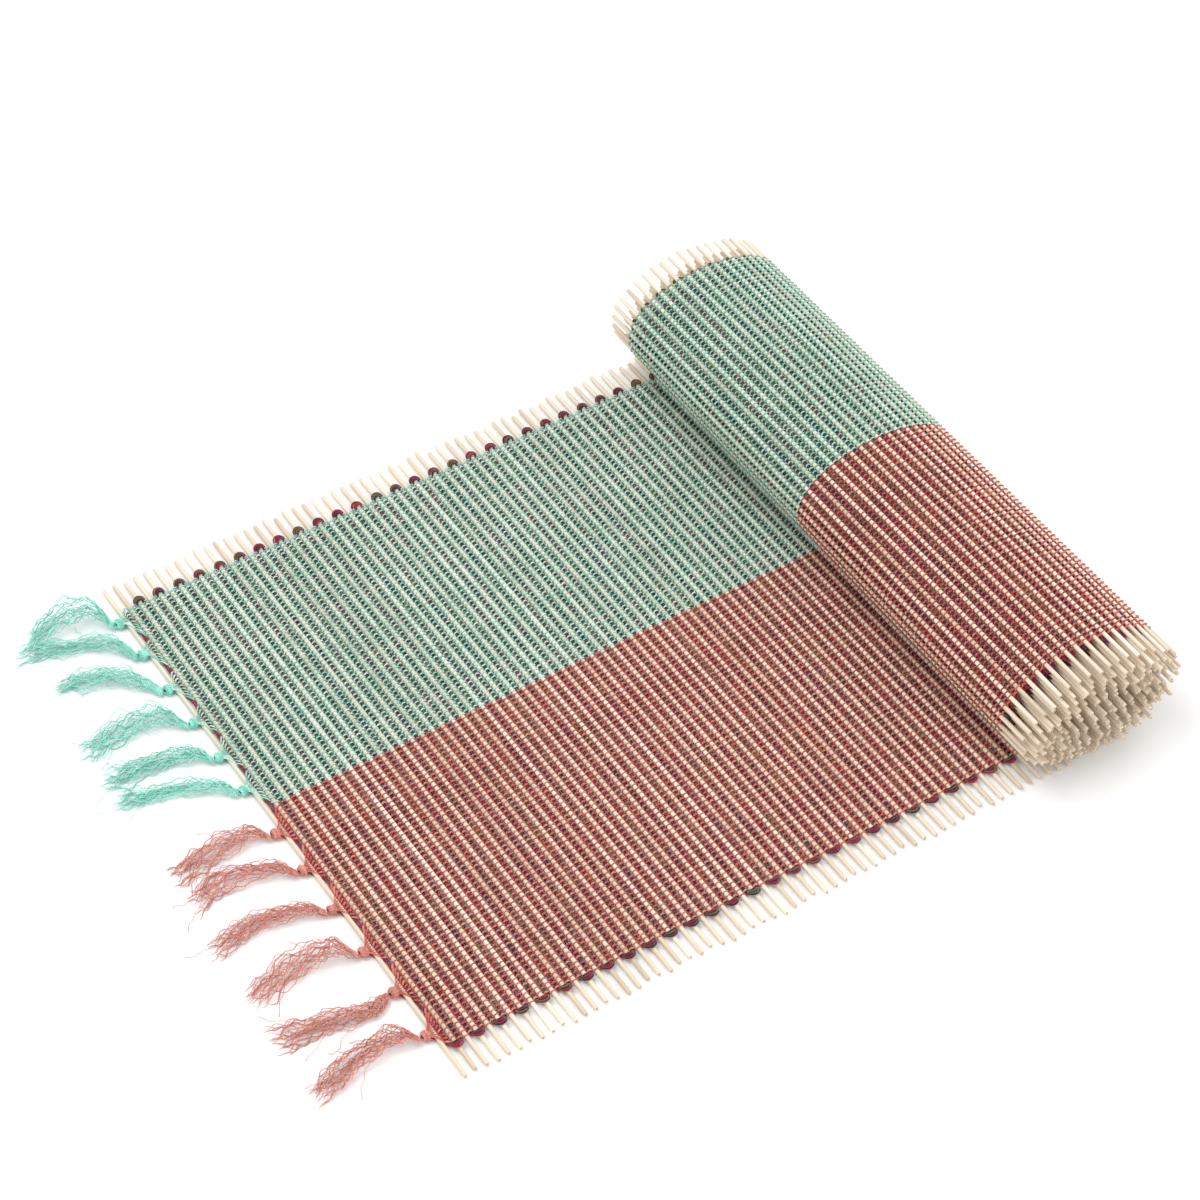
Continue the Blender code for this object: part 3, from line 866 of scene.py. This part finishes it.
# Each tassel's way from its knot in millimetres, as two middle points and the tip: X from the end
# stick, Y and height, then the half widths of the bunch at those three points
TASSELS = {
    "teal": [
        ((-12.5, 152.5, 8.0), (-27.5, 157.5, 5.5), (-44.0, 154.0, 1.2), (5.6, 7.6, 5.8)),
        ((-13.0, 131.5, 4.0), (-32.0, 142.0, 2.2), (-50.5, 149.5, 1.2), (3.6, 4.8, 5.8)),
        ((-16.5, 108.5, 4.0), (-30.5, 117.5, 2.4), (-44.5, 122.0, 1.2), (4.6, 5.6, 4.6)),
        ((-15.0, 79.0, 4.5), (-33.0, 81.0, 2.4), (-53.0, 79.0, 1.2), (5.6, 7.4, 5.2)),
        ((-13.0, 51.5, 3.6), (-32.0, 57.0, 2.2), (-52.0, 58.0, 1.2), (3.4, 4.8, 7.2)),
        ((-14.0, 29.5, 3.5), (-33.0, 39.0, 2.0), (-53.0, 45.0, 1.2), (3.2, 4.4, 4.6)),
    ],
    "red": [
        ((-13.0, -3.5, 4.5), (-33.0, -3.0, 2.6), (-52.5, -7.0, 1.2), (4.4, 6.0, 6.4)),
        ((-14.0, -27.0, 4.4), (-34.0, -20.0, 2.6), (-51.5, -23.0, 1.2), (3.4, 6.2, 7.6)),
        ((-13.0, -54.0, 3.6), (-34.0, -48.5, 2.4), (-56.5, -50.5, 1.2), (3.2, 5.0, 6.0)),
        ((-14.5, -79.5, 6.0), (-33.0, -77.5, 3.2), (-55.0, -83.0, 1.2), (5.0, 6.8, 6.6)),
        ((-15.5, -115.0, 3.2), (-35.0, -110.5, 2.2), (-57.0, -106.5, 1.2), (3.8, 4.8, 6.6)),
        ((-14.0, -133.5, 4.4), (-34.0, -134.0, 2.8), (-56.0, -141.0, 1.2), (4.8, 5.4, 5.4)),
    ],
}
TASSEL_SEEDS = {"teal": 300, "red": 350}
KNOT_RADIUS = 1.92 * MM
KNOT_HEIGHT = 2.4 * MM
KNOT_STRANDS = 7
KNOT_STATIONS = 30
KNOT_TURNS = 1.7
KNOT_SHADE = 0.12
FRINGE_START = 2.72 * MM
FRINGE_STATIONS = 46
CRIMP_LENGTH = 4.6 * MM
STRAYS = 4
STRAY_STATIONS = 40
TABLE_EASE = 0.5 * MM


def knot(made, y, draw):
    """An overhand knot: strands taken nearly twice round the gathered warps, as a round lump."""
    t = np.linspace(0, 1, KNOT_STATIONS)
    lean = draw.uniform(-0.5, 0.5)
    for k in range(KNOT_STRANDS):
        phase = TURN * (KNOT_TURNS * t + 0.03 * k) + draw.uniform(-0.15, 0.15) + lean
        slant = 0.55 * np.sin(phase + 2 * lean)
        shift = ((k - (KNOT_STRANDS - 1) / 2) * 0.50 + 0.35 * (2 * t - 1) + slant) * MM
        reach = np.sqrt(np.maximum(KNOT_RADIUS**2 - shift**2, 0.4 * MM**2)) * draw.uniform(0.90, 1.0)
        size = 0.40 * MM * draw.uniform(0.8, 1.15)
        height = np.maximum(KNOT_HEIGHT + reach * np.sin(phase), size * 1.05)
        across = y + draw.uniform(1.1, 1.5) * reach * np.cos(phase)
        path = np.stack([START_X + KNOT_X + shift, across, height], -1)
        tone = np.clip(KNOT_SHADE + draw.uniform(-0.2, 0.5), 0, 1)
        made.tubes(path[None], size, size, 6, (1.0, 0.1, 0.1), tone, ply_length=1.2 * MM)


def smooth_way(points, share):
    """A smooth line through four points spaced evenly along it, at these shares of its length."""
    first, last = 2 * points[0] - points[1], 2 * points[-1] - points[-2]
    held = np.concatenate([[first], points, [last]])
    place = np.clip(share, 0, 1) * (len(points) - 1)
    k = np.minimum(place.astype(int), len(points) - 2)
    u = (place - k)[..., None]
    a, b, c, d = (held[k + step] for step in range(4))
    bend = 2 * b + (c - a) * u + (2 * a - 5 * b + 4 * c - d) * u**2 + (3 * b - a - 3 * c + d) * u**3
    return 0.5 * bend + (points[-1] - points[-2]) * np.maximum(share - 1, 0)[..., None] * 3


def fringe(made, knot_y, way, sizes, draw):
    """The loose strands of one tassel, still crimped from the loom, and lying on the table."""
    *places, widths = way
    points = np.array([((KNOT_X - FRINGE_START) / MM, knot_y / MM, KNOT_HEIGHT / MM), *places]) * MM
    widths = np.array([2.0, *widths]) * MM
    many = sizes.strands
    t = np.linspace(0, 1, FRINGE_STATIONS)
    rank = (draw.permutation(many) + draw.uniform(0, 1, many)) / many * 2 - 1
    level = draw.uniform(-1, 1, many)
    reach = draw.uniform(0.90, 1.05, many)[:, None]
    share = t * reach
    line = smooth_way(points, share)
    run = np.interp(share, [0, 1], [0, np.linalg.norm(np.diff(points, axis=0), axis=1).sum()])
    heading = points[-1] - points[0]
    sideways = np.array([-heading[1], heading[0], 0.0]) / np.linalg.norm(heading[:2])
    half_width = np.interp(share, np.linspace(0, 1, 4), widths)
    phases = draw.uniform(0, 1, (many, 3))
    loose = np.clip(run / (9 * MM), 0, 1)
    lane = rank[:, None] + 0.60 * wander(run, phases, (21 * MM, 12 * MM, 47 * MM)) * loose
    wave = CRIMP_LENGTH * draw.uniform(0.85, 1.2, many)[:, None]
    crimp = 0.60 * MM * np.sin(TURN * (run / wave + phases[:, :1]))
    curl = 0.30 * MM * wander(run, phases[:, ::-1], (2.9 * MM, 7.7 * MM, 11 * MM))
    paths = line + (lane * half_width + (crimp + curl) * loose)[..., None] * sideways
    toss = wander(run, phases + 0.5, (9 * MM, 5.1 * MM, 21 * MM))
    thick = 0.42 * half_width * level[:, None] + 0.3 * MM * toss
    paths[..., 2] += thick * (0.3 + 0.7 * loose)
    half = sizes.strand_width / 2
    lowest = 1.25 * half
    paths[..., 2] = lowest + np.logaddexp(0, (paths[..., 2] - lowest) / TABLE_EASE) * TABLE_EASE
    paths[..., 0] += START_X
    tone = 0.5 + 0.42 * draw.uniform(-1, 1, many)[:, None] + 0.08 * np.sin(run / MM)
    size = half * np.interp(t, [0, 0.95, 1], [1.0, 1.0, 0.5]) * draw.uniform(0.78, 1.2, many)[:, None]
    made.tubes(paths, size, size, 4, (0.02, 0.0, 1.0), np.clip(tone, 0, 1), ply_length=1.0 * MM)
    for _ in range(STRAYS):
        stray(made, points, sideways, half, draw)


def stray(made, points, sideways, half, draw):
    """One thin ply that has come loose and curls away."""
    t = np.linspace(0, 1, STRAY_STATIONS)
    begin = draw.uniform(0.2, 0.7)
    end = begin + draw.uniform(0.35, 0.8)
    swing = draw.choice([-1, 1]) * draw.uniform(3, 15) * MM
    wave = 0.8 * MM * np.sin(TURN * (t * draw.uniform(2.5, 5.0) + draw.uniform())) * t
    path = smooth_way(points, begin + (end - begin) * t * (1 - 0.25 * t))
    path = path + (swing * t**1.6 + wave)[:, None] * sideways
    drop = path[:, 2] * (1 - t) ** 1.5 + (0.3 + 1.2 * draw.uniform() * np.sin(math.pi * t)) * MM
    path[:, 2] = np.maximum(drop, half * 0.7)
    path[:, 0] += START_X
    thin = half * 0.62
    made.tubes(path[None], thin, thin, 4, (0.02, 0.0, 1.0), draw.uniform(0.2, 0.7), ply_length=0.8 * MM)


class RUNNER_OT_tassels(bpy.types.Operator):
    """Tie the gathered warps into knots and let their ends lie as tassels"""

    bl_idname = "runner.tassels"
    bl_label = "Knots and Tassels"

    def execute(self, context):
        sizes = context.scene.runner_sizes
        for colour, knots in KNOTS.items():
            slot, finish = f"{colour}_cotton", finishes()[f"{colour}_fringe"]
            tied = Strands()
            for number, (knot_y, way) in enumerate(zip(knots[::-1], TASSELS[colour]), start=1):
                draw = np.random.default_rng(TASSEL_SEEDS[colour] + number)
                knot(tied, knot_y, draw)
                made = Strands()
                fringe(made, knot_y, way, sizes, draw)
                name = f"tassel_{colour}_{number}"
                obj = made.build(f"{name}_strands", finish)
                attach(obj, name)
                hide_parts(name)
            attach(tied.build(f"end_knots_{colour}", finish), "end_strip")
        return {"FINISHED"}


# ---------------------------------------------------------------- studio

CAMERA_AZIMUTH = math.radians(-32.64)
CAMERA_ELEVATION = math.radians(46.27)
CAMERA_DISTANCE = 1.565
CAMERA_TARGET = (START_X + 0.1943, 0.0353, 0.0)
CAMERA_LENS = 99.95
CAMERA_SENSOR = 36.0
CAMERA_CLIP = (0.01, 50)

# Each soft light's place, size and watts; all point at the middle of the table top
SOFTBOXES = {
    "key_softbox": ((-0.7, 0.5, 1.9), (1.4, 1.4), 21.0),
    "fill_softbox": ((0.5, -1.5, 0.8), (1.6, 1.0), 9.0),
    "side_softbox": ((1.5, 0.6, 0.9), (1.4, 1.0), 7.0),
}
SURROUND_STRENGTH = 0.88
FLOOR_REACH = 12.0


def softbox(name, place, size, power):
    """A rectangular light that points at the middle of the table top."""
    light = bpy.data.lights.new(name, "AREA")
    light.shape = "RECTANGLE"
    light.size, light.size_y = size
    light.energy = power
    obj = bpy.data.objects.new(name, light)
    obj.location = place
    obj.rotation_euler = (-Vector(place)).to_track_quat("-Z", "Y").to_euler()
    bpy.context.scene.collection.objects.link(obj)


class RUNNER_OT_studio(bpy.types.Operator):
    """Set the pale floor, the soft lights and the camera"""

    bl_idname = "runner.studio"
    bl_label = "Studio"

    def execute(self, context):
        scene = context.scene
        self.floor(tuple(scene.runner_colours.floor))
        self.surroundings(scene)
        for name, (place, size, power) in SOFTBOXES.items():
            softbox(name, place, size, power)
        self.camera(scene)
        scene.view_settings.view_transform = "Standard"
        return {"FINISHED"}

    def camera(self, scene):
        """The camera, looking down at the runner from its tasselled end's side."""
        azimuth, elevation = CAMERA_AZIMUTH, CAMERA_ELEVATION
        level = math.cos(elevation)
        back = Vector((math.sin(azimuth) * level, -math.cos(azimuth) * level, math.sin(elevation)))
        camera = bpy.data.cameras.new("camera")
        camera.lens, camera.sensor_width, camera.sensor_fit = CAMERA_LENS, CAMERA_SENSOR, "HORIZONTAL"
        camera.clip_start, camera.clip_end = CAMERA_CLIP
        obj = bpy.data.objects.new("camera", camera)
        obj.location = Vector(CAMERA_TARGET) + back * CAMERA_DISTANCE
        obj.rotation_euler = (-back).to_track_quat("-Z", "Y").to_euler()
        scene.collection.objects.link(obj)
        scene.camera = obj

    def floor(self, colour):
        """A wide pale table top with a very faint cloudiness."""
        mesh = bpy.data.meshes.new("floor")
        signs = ((-1, -1), (1, -1), (1, 1), (-1, 1))
        corners = [(x * FLOOR_REACH, y * FLOOR_REACH, 0) for x, y in signs]
        mesh.from_pydata(corners, [], [(0, 1, 2, 3)])
        material, make, tree, shader = blank_finish("pale_floor")
        place = make("ShaderNodeTexCoord").outputs["Object"]
        tint = ramp(make, noise(make, place, 3.0, 2.0), [(0.3, scaled(colour, 0.995)), (0.7, colour)])
        tree.links.new(tint, shader.inputs["Base Color"])
        shader.inputs["Roughness"].default_value = 0.9
        shader.inputs["Specular IOR Level"].default_value = 0.1
        mesh.materials.append(material)
        obj = bpy.data.objects.new("floor", mesh)
        bpy.context.scene.collection.objects.link(obj)

    def surroundings(self, scene):
        """Even white light from all round."""
        world = bpy.data.worlds.new("studio")
        world.use_nodes = True
        background = world.node_tree.nodes["Background"]
        background.inputs["Color"].default_value = (1.0, 1.0, 1.0, 1.0)
        background.inputs["Strength"].default_value = SURROUND_STRENGTH
        scene.world = world


class RUNNER_PT_panel(bpy.types.Panel):
    """Lists the makers of the runner's pieces"""

    bl_idname = "RUNNER_PT_panel"
    bl_label = "Table Runner"
    bl_space_type = "VIEW_3D"
    bl_region_type = "UI"
    bl_category = "Runner"

    def draw(self, context):
        for group in (context.scene.runner_sizes, context.scene.runner_colours):
            box = self.layout.box()
            for name in group.bl_rna.properties.keys():
                if name not in ("rna_type", "name"):
                    box.prop(group, name)
        for operator in OPERATORS:
            self.layout.operator(operator.bl_idname)


OPERATORS = (RUNNER_OT_sticks, RUNNER_OT_weft, RUNNER_OT_tassels, RUNNER_OT_warps, RUNNER_OT_studio)
CLASSES = (RunnerSizes, RunnerColours, *OPERATORS, RUNNER_PT_panel)


def register():
    for cls in CLASSES:
        bpy.utils.register_class(cls)
    bpy.types.Scene.runner_sizes = bpy.props.PointerProperty(type=RunnerSizes)
    bpy.types.Scene.runner_colours = bpy.props.PointerProperty(type=RunnerColours)


def unregister():
    del bpy.types.Scene.runner_sizes
    del bpy.types.Scene.runner_colours
    for cls in reversed(CLASSES):
        bpy.utils.unregister_class(cls)


def main():
    register()
    for step in ("sticks", "weft", "tassels", "warps", "studio"):
        getattr(bpy.ops.runner, step)()


if __name__ == "__main__":
    main()
